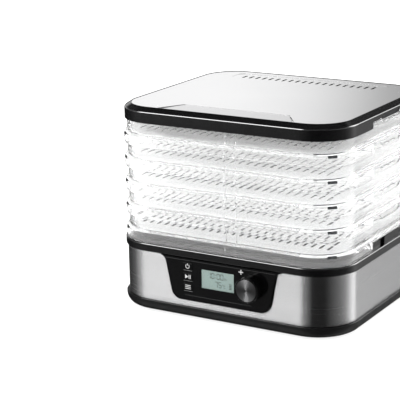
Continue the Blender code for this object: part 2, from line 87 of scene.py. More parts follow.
# Tray floors
TRAY_COUNT = 5
SLOT_PITCH_X = 11.5
SLOT_PITCH_Y = 19.6
SLOT_WIDTH = 3.6
SLOT_LENGTH = 15.6
SLOT_COLUMNS = 25
SLOT_ROWS = 12
SLOT_INSET = -13.0
FLOOR_SHEET = 1.3
WALL_SLOT, FLOOR_SLOT, SLOT_SHADE_INDEX = 0, 1, 2

# Upright ribs on the front wall of each tray
RIB_PLACES = (7.0, 22.0)
RIB_FOOT = 1.3
RIB_CREST = 0.7
RIB_RISE = 1.3

KEY_NAMES = ("power", "start", "set")

# Screw bosses between the pan and the deck
BOSSES = [(132.0, 60.0), (-132.0, 60.0), (-132.0, -60.0), (132.0, -60.0)]

# Camera, as angles and a distance from a target beside the object
CAMERA_AZIMUTH = 31.18
CAMERA_ELEVATION = 15.43
CAMERA_ROLL = -1.17
CAMERA_DISTANCE = 2098.9
CAMERA_TARGET = (-117.5, 0.0, 118.5)
CAMERA_LENS = 134.6


def span(node):
    """A CAD node's lowest and highest corner, in millimetres."""
    low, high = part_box(node)
    return low / MM, high / MM


LID_LOW, LID_HIGH = span("lid_frame")
PLATE_LOW, PLATE_HIGH = span("lid_plate")
WRAP_LOW, WRAP_HIGH = span("steel_wrap")
DECK_HIGH = span("base_deck")[1]
PAN_LOW, PAN_HIGH = span("base_pan")
PANEL_LOW, PANEL_HIGH = span("control_panel")
LENS_LOW, LENS_HIGH = span("lcd_lens")
MODULE_LOW = span("lcd_module")[0]
KNOB_LOW, KNOB_HIGH = span("control_knob")
GRILLE_LOW, GRILLE_HIGH = span("outlet_grille")
TRAY_LOW, TRAY_HIGH = span("tray_1")
HALF_X = (LID_HIGH.x - LID_LOW.x) / 2
HALF_Y = (LID_HIGH.y - LID_LOW.y) / 2
MIDDLE_Y = (LID_HIGH.y + LID_LOW.y) / 2
FAN_Y = (GRILLE_LOW.y + GRILLE_HIGH.y) / 2
FRONT_FACE = PANEL_LOW.y


# ---- outlines and meshes


def arc(centre, radius, start, end, steps):
    """Points on an arc from start to end, in degrees."""
    angles = [math.radians(start + (end - start) * i / steps) for i in range(steps + 1)]
    return [(centre[0] + radius * math.cos(a), centre[1] + radius * math.sin(a)) for a in angles]


def smooth_step(value):
    value = min(1.0, max(0.0, value))
    return value * value * (3.0 - 2.0 * value)


def ramp_up(y, slope):
    """1 over a grip's flat crown, falling smoothly to 0 over its slopes. y is measured from MIDDLE_Y."""
    return smooth_step((GRIP_FLAT + slope - abs(y - GRIP_Y)) / slope)


def in_grip(y):
    return abs(y - GRIP_Y) < GRIP_HALF


SIDE_STATIONS = sorted(
    {GRIP_Y + side * (GRIP_HALF + edge * STEP_RUN / 2) for side in (-1, 1) for edge in (-1, 1)}
    | {GRIP_Y + GRIP_FLAT * i / 2 for i in range(-2, 3)}
    | {GRIP_Y + side * (GRIP_FLAT + LID_SLOPE * i / 8) for side in (-1, 1) for i in range(1, 9)}
    | {GRIP_Y + side * (GRIP_FLAT + DIP_SLOPE * i / 8) for side in (-1, 1) for i in range(1, 9)}
)


def plan(offset, steps=CORNER_STEPS, stations=(), ribs=None):
    """The outline grown by offset, anticlockwise, with extra points on the short sides at stations.
    ribs is how far the ribs stand out of the front side, or None for no ribs."""
    radius = CORNER + offset
    points = []
    for quarter in range(4):
        side_x = 1 if quarter in (0, 3) else -1
        side_y = 1 if quarter in (0, 1) else -1
        centre = (side_x * (HALF_X - CORNER), side_y * (HALF_Y - CORNER))
        turned = arc(centre, radius, 90 * quarter, 90 * quarter + 90, steps)
        before, after = (90 * quarter - 90, 90 * quarter + 180)
        lead = (math.cos(math.radians(before)), math.sin(math.radians(before)))
        tail = (math.cos(math.radians(after)), math.sin(math.radians(after)))
        points.append((turned[0][0] + lead[0] * FLAT_MARGIN, turned[0][1] + lead[1] * FLAT_MARGIN))
        points += turned
        points.append((turned[-1][0] + tail[0] * FLAT_MARGIN, turned[-1][1] + tail[1] * FLAT_MARGIN))
        if quarter == 1:
            points += [(-HALF_X - offset, y) for y in reversed(stations)]
        if quarter == 2 and ribs is not None:
            for x in RIB_PLACES:
                steps_out = ((-RIB_FOOT, 0.0), (-RIB_CREST, ribs), (RIB_CREST, ribs), (RIB_FOOT, 0.0))
                points += [(x + across, -HALF_Y - offset - out) for across, out in steps_out]
        if quarter == 3:
            points += [(HALF_X + offset, y) for y in stations]
    return points


def fillet(profile, radii, steps=4, closed=False):
    """A profile with its corners rounded. radii is one radius, or one for each point."""
    count = len(profile)
    if not hasattr(radii, "__len__"):
        radii = [radii] * count
    rounded = []
    for i, (point, radius) in enumerate(zip(profile, radii)):
        if radius <= 0 or (not closed and i in (0, count - 1)):
            rounded.append(point)
            continue
        here = Vector(point)
        back = Vector(profile[i - 1]) - here
        ahead = Vector(profile[(i + 1) % count]) - here
        half_angle = back.angle(ahead) / 2
        if half_angle > math.radians(88):
            rounded.append(point)
            continue
        reach = min(radius / math.tan(half_angle), back.length * 0.49, ahead.length * 0.49)
        radius = reach * math.tan(half_angle)
        start = here + back.normalized() * reach
        end = here + ahead.normalized() * reach
        inward = (back.normalized() + ahead.normalized()).normalized()
        centre = here + inward * (radius / math.sin(half_angle))
        for step in range(steps + 1):
            mixed = (start - centre).lerp(end - centre, step / steps).normalized() * radius
            rounded.append(tuple(centre + mixed))
    return rounded


def loft(mesh, loops, ring=False, caps=True):
    """Adds a skin through loops of 3-D points. A ring joins its last loop to its first."""
    rows = [[mesh.verts.new(point) for point in loop] for loop in loops]
    pairs = list(zip(rows, rows[1:]))
    if ring:
        pairs.append((rows[-1], rows[0]))
    elif caps:
        mesh.faces.new(rows[0])
        mesh.faces.new(rows[-1])
    for lower, upper in pairs:
        for i in range(len(lower)):
            j = (i + 1) % len(lower)
            mesh.faces.new((lower[i], lower[j], upper[j], upper[i]))


def shell(profile, ring=False, stations=(), shape=None, steps=CORNER_STEPS):
    """A mesh of (offset, height) points carried round the plan. shape(index, x, y, height) may move a
    point's height."""
    loops = []
    for index, (offset, height) in enumerate(profile):
        outline = plan(offset, steps=steps, stations=stations)
        heights = [shape(index, x, y, height) if shape else height for x, y in outline]
        loops.append([(x, y, z) for (x, y), z in zip(outline, heights)])
    mesh = bmesh.new()
    loft(mesh, loops, ring)
    return closed_up(mesh)


def closed_up(mesh, distance=0.002):
    bmesh.ops.remove_doubles(mesh, verts=mesh.verts, dist=distance)
    bmesh.ops.recalc_face_normals(mesh, faces=mesh.faces)
    return mesh


def turned(profile, ring=False, steps=64):
    """A mesh of (radius, height) points turned round Z."""
    loops = []
    for radius, height in profile:
        loops.append([(x, y, height) for x, y in arc((0.0, 0.0), radius, 0, 360, steps)[:-1]])
    mesh = bmesh.new()
    loft(mesh, loops, ring)
    return closed_up(mesh, 0.0001)


def prism(outline, low, high, along):
    """An outline carried from low to high: (x, z) along Y, (y, z) along X, (x, y) along Z."""
    order = {
        "X": lambda u, v, depth: (depth, u, v),
        "Y": lambda u, v, depth: (u, depth, v),
        "Z": lambda u, v, depth: (u, v, depth),
    }[along]
    mesh = bmesh.new()
    loft(mesh, [[order(u, v, depth) for u, v in outline] for depth in (low, high)])
    return closed_up(mesh, 0.0001)


def rectangle(centre, width, height, radius=0.0, steps=4):
    """A rectangle, with round corners where a radius is given."""
    x, y = centre
    corners = [(x - width / 2, y - height / 2), (x + width / 2, y - height / 2),
               (x + width / 2, y + height / 2), (x - width / 2, y + height / 2)]
    return fillet(corners, radius, steps, closed=True) if radius > 0 else corners


def front_rectangle(low, high, grow, radius, steps):
    """The round-cornered front outline of a box, grown by a width and a height of grow."""
    centre = ((low.x + high.x) / 2, (low.z + high.z) / 2)
    return rectangle(centre, high.x - low.x + grow, high.z - low.z + grow, radius, steps)


def merged(*meshes):
    """One mesh that holds several separate ones."""
    whole = bmesh.new()
    for part in meshes:
        data = bpy.data.meshes.new("part")
        part.to_mesh(data)
        part.free()
        whole.from_mesh(data)
        bpy.data.meshes.remove(data)
    return whole


# ---- objects


def make_object(name, mesh, at=(0.0, MIDDLE_Y, 0.0), turn=(0.0, 0.0, 0.0)):
    """An object from a mesh in millimetres, with its place in its mesh, as the frame's nodes have."""
    placed = Matrix.Translation(Vector(at)) @ Matrix.Rotation(math.radians(turn[2]), 4, "Z")
    placed = placed @ Matrix.Rotation(math.radians(turn[0]), 4, "X")
    mesh.transform(Matrix.Scale(MM, 4) @ placed)
    data = bpy.data.meshes.new(name)
    mesh.to_mesh(data)
    mesh.free()
    obj = bpy.data.objects.new(name, data)
    bpy.context.scene.collection.objects.link(obj)
    return obj


def carve(obj, operation, *meshes, at=(0.0, MIDDLE_Y, 0.0), turn=(0.0, 0.0, 0.0)):
    """Cuts meshes from an object, or joins them to it, for good."""
    tools = [make_object("tool", mesh, at, turn) for mesh in meshes]
    for tool in tools:
        modifier = obj.modifiers.new("carve", "BOOLEAN")
        modifier.operation = operation
        modifier.solver = "EXACT"
        modifier.object = tool
    bpy.context.view_layer.update()
    evaluated = obj.evaluated_get(bpy.context.evaluated_depsgraph_get())
    data = bpy.data.meshes.new_from_object(evaluated)
    obj.modifiers.clear()
    old = obj.data
    obj.data = data
    bpy.data.meshes.remove(old)
    for tool in tools:
        tool_data = tool.data
        bpy.data.objects.remove(tool)
        bpy.data.meshes.remove(tool_data)


def finish_piece(obj, body, material, replaces=(), bevel=0.0, weighted=True, sharp=32.0):
    """Shades a piece, bevels its hard edges, gives it its material and puts it on its body."""
    obj.data.materials.clear()
    obj.data.materials.append(material)
    obj.data.shade_smooth()
    obj.data.set_sharp_from_angle(angle=math.radians(sharp))
    if bevel > 0:
        modifier = obj.modifiers.new("bevel", "BEVEL")
        modifier.width = bevel * MM
        modifier.segments = 2
        modifier.limit_method = "ANGLE"
        modifier.angle_limit = math.radians(sharp)
        modifier.harden_normals = True
    if weighted:
        modifier = obj.modifiers.new("normals", "WEIGHTED_NORMAL")
        modifier.keep_sharp = True
    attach(obj, body)
    if replaces:
        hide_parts(*replaces)


# ---- materials


class Finish:
    """A Principled material with a few helpers for its procedural detail, in object coordinates."""

    def __init__(self, name, colour, roughness, metallic=0.0, specular=0.5):
        self.name = name
        self.material = bpy.data.materials.new(name)
        self.material.use_nodes = True
        self.tree = self.material.node_tree
        self.shader = self.tree.nodes["Principled BSDF"]
        self.set("Base Color", (*colour, 1.0))
        self.set("Roughness", roughness)
        self.set("Metallic", metallic)
        self.set("Specular IOR Level", specular)
        self.colour = colour
        self.place = self.node("ShaderNodeTexCoord").outputs["Object"]

    def set(self, socket, value):
        self.shader.inputs[socket].default_value = value

    def node(self, kind, **settings):
        made = self.tree.nodes.new(kind)
        for key, value in settings.items():
            setattr(made, key, value)
        return made

    def link(self, output, target):
        self.tree.links.new(output, target)

    def vector(self, operation, source, other=(0.0, 0.0, 0.0)):
        made = self.node("ShaderNodeVectorMath", operation=operation)
        made.inputs[1].default_value = other
        self.link(source, made.inputs[0])
        return made

    def noise(self, scale, detail=3.0, roughness=0.55):
        """Noise with a scale for each axis, in waves per metre."""
        mapping = self.node("ShaderNodeMapping")
        mapping.inputs["Scale"].default_value = scale if hasattr(scale, "__len__") else (scale,) * 3
        self.link(self.place, mapping.inputs["Vector"])
        texture = self.node("ShaderNodeTexNoise")
        texture.inputs["Scale"].default_value = 1.0
        texture.inputs["Detail"].default_value = detail
        texture.inputs["Roughness"].default_value = roughness
        self.link(mapping.outputs["Vector"], texture.inputs["Vector"])
        return texture.outputs["Fac"]

    def ranged(self, source, low, high, source_low=0.3, source_high=0.7):
        ranged = self.node("ShaderNodeMapRange")
        ranged.inputs["From Min"].default_value = source_low
        ranged.inputs["From Max"].default_value = source_high
        ranged.inputs["To Min"].default_value = low
        ranged.inputs["To Max"].default_value = high
        self.link(source, ranged.inputs["Value"])
        return ranged.outputs["Result"]

    def vary_roughness(self, source, low, high):
        self.link(self.ranged(source, low, high), self.shader.inputs["Roughness"])

    def vary_colour(self, source, dark, light):
        """The colour times a factor between dark and light."""
        mix = self.node("ShaderNodeMix", data_type="RGBA")
        mix.inputs[6].default_value = (*[min(1.0, c * dark) for c in self.colour], 1.0)
        mix.inputs[7].default_value = (*[min(1.0, c * light) for c in self.colour], 1.0)
        self.link(self.ranged(source, 0.0, 1.0), mix.inputs[0])
        self.link(mix.outputs[2], self.shader.inputs["Base Color"])

    def bump(self, source, height, strength=1.0):
        """Height is in metres."""
        bump = self.node("ShaderNodeBump")
        bump.inputs["Strength"].default_value = strength
        bump.inputs["Distance"].default_value = height
        self.link(source, bump.inputs["Height"])
        self.link(bump.outputs["Normal"], self.shader.inputs["Normal"])


def moulded(name, colour, roughness, specular, grain, height):
    """A moulded plastic or rubber: faint mottling, uneven gloss and a fine grain."""
    finish = Finish(name, colour, roughness, specular=specular)
    finish.vary_colour(finish.noise(35.0), 0.85, 1.18)
    finish.vary_roughness(finish.noise(90.0), roughness * 0.8, roughness * 1.25)
    finish.bump(finish.noise(grain, detail=2.0), height, 0.6)
    return finish


def brushed(name, colour, roughness, streaks, anisotropy, tangent_axis):
    """Sheet steel brushed one way: streaks gives the scale of the brushing along each axis."""
    finish = Finish(name, colour, roughness, metallic=1.0)
    fine = finish.noise(streaks, detail=4.0, roughness=0.7)
    finish.vary_colour(fine, 0.975, 1.02)
    finish.vary_roughness(fine, roughness * 0.88, roughness * 1.12)
    finish.bump(fine, 0.000003, 0.2)
    tangent = finish.node("ShaderNodeTangent", direction_type="RADIAL", axis=tangent_axis)
    finish.link(tangent.outputs["Tangent"], finish.shader.inputs["Tangent"])
    finish.set("Anisotropic", anisotropy)
    finish.set("Anisotropic Rotation", 0.25)
    return finish


def metal(name, colour, roughness, grain=400.0):
    finish = Finish(name, colour, roughness, metallic=1.0)
    finish.vary_colour(finish.noise(60.0), 0.85, 1.1)
    finish.vary_roughness(finish.noise(grain), roughness * 0.8, roughness * 1.3)
    finish.bump(finish.noise(grain), 0.00001, 0.4)
    return finish


def let_lamps_through(finish, share):
    """Rays from lamps pass the clear plastic, so that what is behind it is lit."""
    path = finish.node("ShaderNodeLightPath")
    clear = finish.node("ShaderNodeBsdfTransparent")
    clear.inputs["Color"].default_value = (share, share, share, 1.0)
    mix = finish.node("ShaderNodeMixShader")
    finish.link(path.outputs["Is Shadow Ray"], mix.inputs[0])
    finish.link(finish.shader.outputs[0], mix.inputs[1])
    finish.link(clear.outputs[0], mix.inputs[2])
    finish.link(mix.outputs[0], finish.tree.nodes["Material Output"].inputs["Surface"])


def clear_plastic(name, colour, roughness, transmission, ripple, specular=0.5, ior=1.46):
    finish = Finish(name, colour, roughness, specular=specular)
    finish.set("IOR", ior)
    finish.set("Transmission Weight", transmission)
    finish.vary_roughness(finish.noise(60.0), roughness * 0.7, roughness * 1.5)
    finish.bump(finish.noise(ripple, detail=1.0), 0.00002, 0.2)
    let_lamps_through(finish, 0.96)
    return finish


def frosted_floor_painted_glow():
    """The trays' floors: finely frosted, with a faint painted glow that stands in for the light that the
    clear stack gathers.
    """
    finish = clear_plastic("clear_floor", (0.97, 0.975, 0.975), 0.08, 0.4, 160.0, 0.2)
    # The emission is a painted glow: the floor is no lamp
    finish.set("Emission Color", (1.0, 1.0, 1.0, 1.0))
    finish.set("Emission Strength", 0.04)
    return finish


def spun_face():
    """The knob's cap: concentric tool marks round its centre, which shine as two cones."""
    finish = Finish("spun_face", (0.2, 0.2, 0.203), 0.4, metallic=1.0)
    centre = (KNOB_LOW + KNOB_HIGH) / 2 * MM
    shift = finish.vector("SUBTRACT", finish.place, (centre.x, 0.0, centre.z))
    flat = finish.vector("MULTIPLY", shift.outputs[0], (1.0, 0.0, 1.0))
    radius = finish.vector("LENGTH", flat.outputs[0])
    rings = finish.node("ShaderNodeTexNoise", noise_dimensions="1D")
    rings.inputs["Scale"].default_value = 2600.0
    rings.inputs["Detail"].default_value = 3.0
    finish.link(radius.outputs["Value"], rings.inputs["W"])
    finish.vary_colour(rings.outputs["Fac"], 0.85, 1.15)
    finish.bump(rings.outputs["Fac"], 0.000006, 0.4)
    unit = finish.vector("NORMALIZE", flat.outputs[0])
    finish.link(unit.outputs[0], finish.shader.inputs["Tangent"])
    finish.set("Anisotropic", 1.0)
    return finish


def painted_highlight_finish():
    """The rounded edges of the gloss black mouldings: a lighter, glossier copy of the black, as a painted
    highlight along them.
    """
    finish = moulded("black_painted_highlight", (0.003, 0.003, 0.0032), 0.12, 1.0, 700.0, 0.000008)
    finish.set("Coat Weight", 1.0)
    finish.set("Coat IOR", 2.1)
    finish.set("Coat Roughness", 0.08)
    return finish


def lcd_painted_glow():
    """The LCD's reflective backing: a soft grey-green, with an even painted glow that stands in for the
    light it reflects.
    """
    finish = Finish("lcd_face", (0.13, 0.16, 0.154), 0.45)
    finish.vary_colour(finish.noise((30.0, 30.0, 60.0)), 0.96, 1.04)
    # The emission is a painted glow: a reflective backing gives no light of its own
    finish.set("Emission Color", (0.33, 0.42, 0.395, 1.0))
    finish.set("Emission Strength", 0.33)
    return finish


FINISHES = {finish.name: finish for finish in (
    moulded("black_gloss", (0.0015, 0.0015, 0.0016), 0.11, 0.65, 700.0, 0.000012),
    moulded("black_panel", (0.0008, 0.0008, 0.0009), 0.09, 0.3, 500.0, 0.000008),
    moulded("black_matt", (0.002, 0.002, 0.0021), 0.38, 0.25, 2200.0, 0.00004),
    moulded("rubber", (0.022, 0.022, 0.023), 0.8, 0.3, 1500.0, 0.00008),
    moulded("fan_plastic", (0.04, 0.04, 0.044), 0.5, 0.4, 1200.0, 0.00005),
    moulded("board", (0.02, 0.15, 0.065), 0.4, 0.5, 900.0, 0.00003),
    moulded("white_print", (0.3, 0.3, 0.3), 0.5, 0.3, 900.0, 0.00001),
    moulded("grey_print", (0.12, 0.12, 0.12), 0.5, 0.3, 900.0, 0.00001),
    moulded("lcd_dark", (0.012, 0.018, 0.016), 0.5, 0.3, 900.0, 0.00001),
    brushed("wrap_steel", (0.74, 0.74, 0.745), 0.25, (2.0, 2.0, 1400.0), 1.0, "Z"),
    brushed("plate_steel", (0.76, 0.76, 0.765), 0.12, (2.0, 1400.0, 2.0), 0.3, "Z"),
    # The scoop's floor: the plate's steel darkened, as painted shade in the recess
    brushed("scoop_steel_painted_shade", (0.62, 0.62, 0.625), 0.12, (2.0, 1400.0, 2.0), 0.3, "Z"),
    metal("zinc", (0.58, 0.58, 0.6), 0.34),
    metal("heater", (0.33, 0.29, 0.25), 0.45, 250.0),
    metal("shaft_steel", (0.66, 0.66, 0.67), 0.2),
    clear_plastic("clear_wall", (0.99, 0.99, 0.99), 0.03, 0.97, 8.0, 0.5, 1.4),
    frosted_floor_painted_glow(),
    # Nearly opaque dark plastic for the walls of the floor's slots: painted shade in the slots
    clear_plastic("clear_slot_painted_shade", (0.02, 0.021, 0.022), 0.2, 0.1, 160.0, 0.3),
    clear_plastic("window", (0.93, 0.98, 0.96), 0.04, 1.0, 20.0),
    painted_highlight_finish(),
    spun_face(),
    lcd_painted_glow(),
)}


def finish_of(name):
    return FINISHES[name].material


def paint_edge_highlights(obj, low, high):
    """Gives the lighter, glossier black, as a painted highlight, to the faces between two heights that look
    upward and outward.
    """
    obj.data.materials.append(finish_of("black_painted_highlight"))
    for face in obj.data.polygons:
        if low < face.center.z / MM < high and EDGE_LOW < face.normal.z < EDGE_HIGH:
            face.material_index = 1


# ---- lid


def build_lid():
    low, high = LID_LOW.z, LID_HIGH.z
    profile = [(0.0, low), (0.0, high - 5.6), (-8.5, high), (-9.4, high), (-9.4, PLATE_LOW.z - 0.3),
               (-16.0, PLATE_LOW.z - 0.3), (-16.0, high - 4.0), (-6.2, high - 4.0), (-6.2, high - 8.3),
               (-2.0, high - 8.3), (-2.0, low)]
    radii = [0.5, 2.4, 0.3, 0.1, 0.0, 0.0, 0.3, 0.0, 0.3, 0.5, 0.5]
    rounded = fillet(profile, radii, 5, closed=True)

    def cut_grips(index, x, y, height):
        """The skirt's foot rises to a step and then to a crown in each short side."""
        offset = rounded[index][0]
        if offset < -2.3 or height > low + 3.0 or abs(x) < HALF_X - 3.0 or not in_grip(y):
            return height
        step, crown = low + 8.6, low + 13.2
        return step + (crown - step) * ramp_up(y, LID_SLOPE) + (height - low)

    body = make_object("lid_frame_shell", shell(rounded, True, SIDE_STATIONS, cut_grips))
    finish_piece(body, "lid", finish_of("black_gloss"), ["lid_frame"])
    # The shoulder's upward faces take the painted highlight
    paint_edge_highlights(body, high - 9.0, high - 3.0)

    top = PLATE_HIGH.z - PLATE_DROP
    offset = PLATE_HIGH.x - HALF_X
    edge = [(offset, PLATE_LOW.z), (offset, top - 0.35), (offset - 0.12, top - 0.1), (offset - 0.4, top)]
    plate = make_object("lid_plate_sheet", shell(edge))
    front = -HALF_Y - offset - 1.2
    right = [(SCOOP_HALF, front - 8.0), (SCOOP_HALF, front + 2.0), (SCOOP_HALF - 21.0, SCOOP_BACK)]
    recess = fillet([(-SCOOP_HALF, front - 8.0), *right, (21.0 - SCOOP_HALF, SCOOP_BACK),
                     (-SCOOP_HALF, front + 2.0)], [0, 0, 4.0, 6.0, 6.0, 4.0], 5, closed=True)
    scoop = prism(recess, top, top + 2.0, "Z")
    for vert in scoop.verts:
        if vert.co.z < top + 1.0:
            vert.co.z -= SCOOP_DEPTH + SCOOP_SLOPE * (SCOOP_BACK - vert.co.y)
    carve(plate, "DIFFERENCE", scoop)
    # A narrow black-walled groove along the scoop's right end: a painted shadow line
    shadow_groove = [(98.0, front + 6.0), (99.2, front + 6.0), (82.4, -108.0), (81.2, -108.0)]
    carve(plate, "DIFFERENCE", prism(shadow_groove, top - 1.6, top + 2.0, "Z"))
    strip = rectangle((0.0, 106.0), 236.0, 30.0, 9.0, 6)
    carve(plate, "DIFFERENCE", prism(strip, top - 0.3, top + 2.0, "Z"))
    vents = []
    for i in range(VENT_COUNT):
        place = (VENT_PITCH * (i - (VENT_COUNT - 1) / 2), VENT_Y)
        slot = rectangle(place, VENT_WIDTH, VENT_LENGTH, 1.6, 4)
        vents.append(prism(slot, top - 5.0, top + 5.0, "Z"))
    carve(plate, "DIFFERENCE", merged(*vents))
    finish_piece(plate, "lid", finish_of("plate_steel"), ["lid_plate"])
    plate.data.materials.append(finish_of("black_matt"))
    plate.data.materials.append(finish_of("scoop_steel_painted_shade"))
    # The walls of the vents and of the groove take the matt black: painted shade in the openings
    for face in plate.data.polygons:
        x, y = face.center.x / MM, face.center.y / MM
        at_vents = abs(x) < 106.0 and abs(y - VENT_Y) < 7.9
        at_shadow_groove = 80.0 < x < 99.5 and y < -107.0
        if (at_vents or at_shadow_groove) and abs(face.normal.z) < 0.3:
            face.material_index = 1
        # The scoop's floor takes the darker steel: painted shade in the recess
        elif y < SCOOP_BACK + 1.0 and face.center.z / MM < top - SCOOP_DEPTH / 2 and face.normal.z > 0.9:
            face.material_index = 2


# ---- trays


def slot_centres():
    """Places of the floor's slots: a grid, less those too near the outline's round corners."""
    places = []
    for row in range(SLOT_ROWS):
        y = SLOT_PITCH_Y * (row - (SLOT_ROWS - 1) / 2)
        for column in range(SLOT_COLUMNS):
            x = SLOT_PITCH_X * (column - (SLOT_COLUMNS - 1) / 2)
            far_x = abs(x) + SLOT_WIDTH / 2 - (HALF_X - CORNER)
            far_y = abs(y) + SLOT_LENGTH / 2 - (HALF_Y - CORNER)
            if far_x <= 0 or far_y <= 0 or math.hypot(far_x, far_y) <= CORNER + SLOT_INSET:
                places.append((x, y))
    return places


def floor_sheet(mesh, outline, slots, height):
    """Flat faces inside an outline and outside every slot, at one height."""
    points = [Vector(p) for p in outline]
    edges = [(i, (i + 1) % len(points)) for i in range(len(points))]
    for loop in slots:
        first = len(points)
        points += [Vector(p) for p in loop]
        edges += [(first + i, first + (i + 1) % len(loop)) for i in range(len(loop))]
    verts, _, faces, _, _, _ = delaunay_2d_cdt(points, edges, [list(range(len(outline)))], 1, 1e-4)
    made = [mesh.verts.new((v.x, v.y, height)) for v in verts]
    half_row, half_column = (SLOT_ROWS - 1) / 2, (SLOT_COLUMNS - 1) / 2
    taken = {(round(x, 3), round(y, 3)) for x, y in slot_centres()}
    for face in faces:
        x = sum(verts[i].x for i in face) / len(face)
        y = sum(verts[i].y for i in face) / len(face)
        near_x = SLOT_PITCH_X * (round(x / SLOT_PITCH_X + half_column) - half_column)
        near_y = SLOT_PITCH_Y * (round(y / SLOT_PITCH_Y + half_row) - half_row)
        inside = abs(x - near_x) < SLOT_WIDTH / 2 and abs(y - near_y) < SLOT_LENGTH / 2
        if not (inside and (round(near_x, 3), round(near_y, 3)) in taken):
            mesh.faces.new([made[i] for i in face])


def tray_mesh():
    """A clear tray round its own floor's top at height 0: a slotted floor, a wall and a bulged skirt."""
    skirt = TRAY_LOW.z - tray_floor(1)
    wall = TRAY_HIGH.z - tray_floor(1)
    outer = fillet([(0.4, skirt), (1.5, skirt + 4.6), (1.5, -4.6), (0.2, -0.4), (-2.4, 1.8), (-3.0, 5.2),
                    (-3.0, wall)], [0.0, 4.0, 3.5, 3.0, 2.4, 3.0, 0.0], 4)
    rim = [(-2.6, wall - 1.4), (-2.6, wall - 0.3), (-2.9, wall), (-4.7, wall), (-5.0, wall - 0.3)]
    inner = [(-5.0, 0.9), (-5.3, 0.25), (-5.9, 0.0)]
    under = [(-9.4, -FLOOR_SHEET), (-8.8, -3.0), (-1.9, -3.0), (-1.5, -3.5), (-1.7, skirt + 0.3),
             (-1.4, skirt), (0.1, skirt)]
    profile = [*under, *outer[1:-1], (-3.0, wall - 1.9), *rim, *inner]

    def shape(index, x, y, height):
        if abs(x) < HALF_X - 7.0:
            return height
        if height < -3.3 and in_grip(y):
            return -3.3
        if height > 8.0:
            return height - 9.9 * ramp_up(y, DIP_SLOPE) * (height - 8.0) / (wall - 8.0)
        return height

    outlines = []
    mesh = bmesh.new()
    loops = []
    for index, (offset, height) in enumerate(profile):
        outside = len(under) <= index < len(under) + len(outer) - 2
        outline = plan(offset, steps=14, stations=SIDE_STATIONS, ribs=RIB_RISE if outside else 0.0)
        outlines.append(outline)
        loops.append([(x, y, shape(index, x, y, height)) for x, y in outline])
    loft(mesh, loops, caps=False)
    slots = [rectangle(centre, SLOT_WIDTH, SLOT_LENGTH, 1.7, 3) for centre in slot_centres()]
    floor_sheet(mesh, outlines[-1], slots, profile[-1][1])
    floor_sheet(mesh, outlines[0], slots, profile[0][1])
    for slot in slots:
        loft(mesh, [[(x, y, z) for x, y in slot] for z in (profile[0][1], profile[-1][1])], caps=False)
    closed_up(mesh, 0.003)
    return mesh


def tray_floor(number):
    """The height of a tray's floor: the CAD tray's skirt reaches 15.7 below it."""
    return span(f"tray_{number}")[0].z + 15.7


def build_trays():
    for number in range(1, TRAY_COUNT + 1):
        name = f"tray_{number}"
        tray = make_object(f"{name}_clear", tray_mesh(), (0.0, MIDDLE_Y, tray_floor(number)))
        finish_piece(tray, name, finish_of("clear_wall"), [name], weighted=False, sharp=28.0)
        tray.data.materials.append(finish_of("clear_floor"))
        tray.data.materials.append(finish_of("clear_slot_painted_shade"))
        floor_top = tray_floor(number) * MM
        for face in tray.data.polygons:
            level = (face.center.z - floor_top) / MM
            across, along = abs(face.center.x) / MM, abs(face.center.y / MM - MIDDLE_Y)
            if not (-3.2 < level < 0.2 and across < HALF_X - 5.5 and along < HALF_Y - 5.5):
                face.material_index = WALL_SLOT
            elif abs(face.normal.z) > 0.5:
                face.material_index = FLOOR_SLOT
            # Upright faces inside the floor, mostly the slots' walls, take the dark plastic as painted shade
            elif across < HALF_X - 12.0 and along < HALF_Y - 12.0:
                face.material_index = SLOT_SHADE_INDEX


# ---- base


def panel_outline(grow=0.0, top=0.0):
    """The control panel's front outline: straight foot, round lower corners, sloping sides and corners
    that flare out at the top. top carries the outline further up."""
    slope, corner, flare = 0.2, 15.0 + grow, 9.0 - grow
    slope_angle = math.degrees(math.atan(slope))
    across = math.hypot(1.0, slope)
    side_x, side_z = 78.0 + grow * across, 60.0
    bottom = PANEL_LOW.z - grow
    panel_top = PANEL_HIGH.z
    corner_x = side_x - slope * (side_z - bottom - corner) - across * corner
    flare_z = panel_top - 9.0
    flare_x = side_x - slope * (side_z - flare_z) + across * flare
    right = arc((corner_x, bottom + corner), corner, -90.0, -slope_angle, 14)
    right += arc((flare_x, flare_z), flare, 180.0 - slope_angle, 94.0, 10)
    right.append((flare_x + grow, panel_top - grow))
    if top > 0:
        right.append((flare_x + grow, panel_top + top))
    return right + [(-x, z) for x, z in reversed(right)]


def build_wrap():
    low, high = WRAP_LOW.z, WRAP_HIGH.z
    sheet = [(0.4, low), (0.4, high), (-0.8, high), (-0.8, low)]
    profile = fillet(sheet, [0.35, 0.35, 0.2, 0.2], 3, closed=True)
    wrap = make_object("wrap_sheet", shell(profile, True, steps=32))
    carve(wrap, "DIFFERENCE", prism(panel_outline(0.3, 6.0), -155.0, -138.0, "Y"))
    gland_low, gland_high = span("cord_gland")
    place = ((gland_low.x + gland_high.x) / 2, MIDDLE_Y + HALF_Y, (gland_low.z + gland_high.z) / 2)
    carve(wrap, "DIFFERENCE", turned([(8.6, -8.0), (8.6, 8.0)]), at=place, turn=(-90.0, 0.0, 0.0))
    finish_piece(wrap, "base", finish_of("wrap_steel"), ["steel_wrap"])


def posts(places, radius, low, high):
    made = [prism(arc(place, radius, 0, 360, 24)[:-1], low, high, "Z") for place in places]
    return merged(*made)


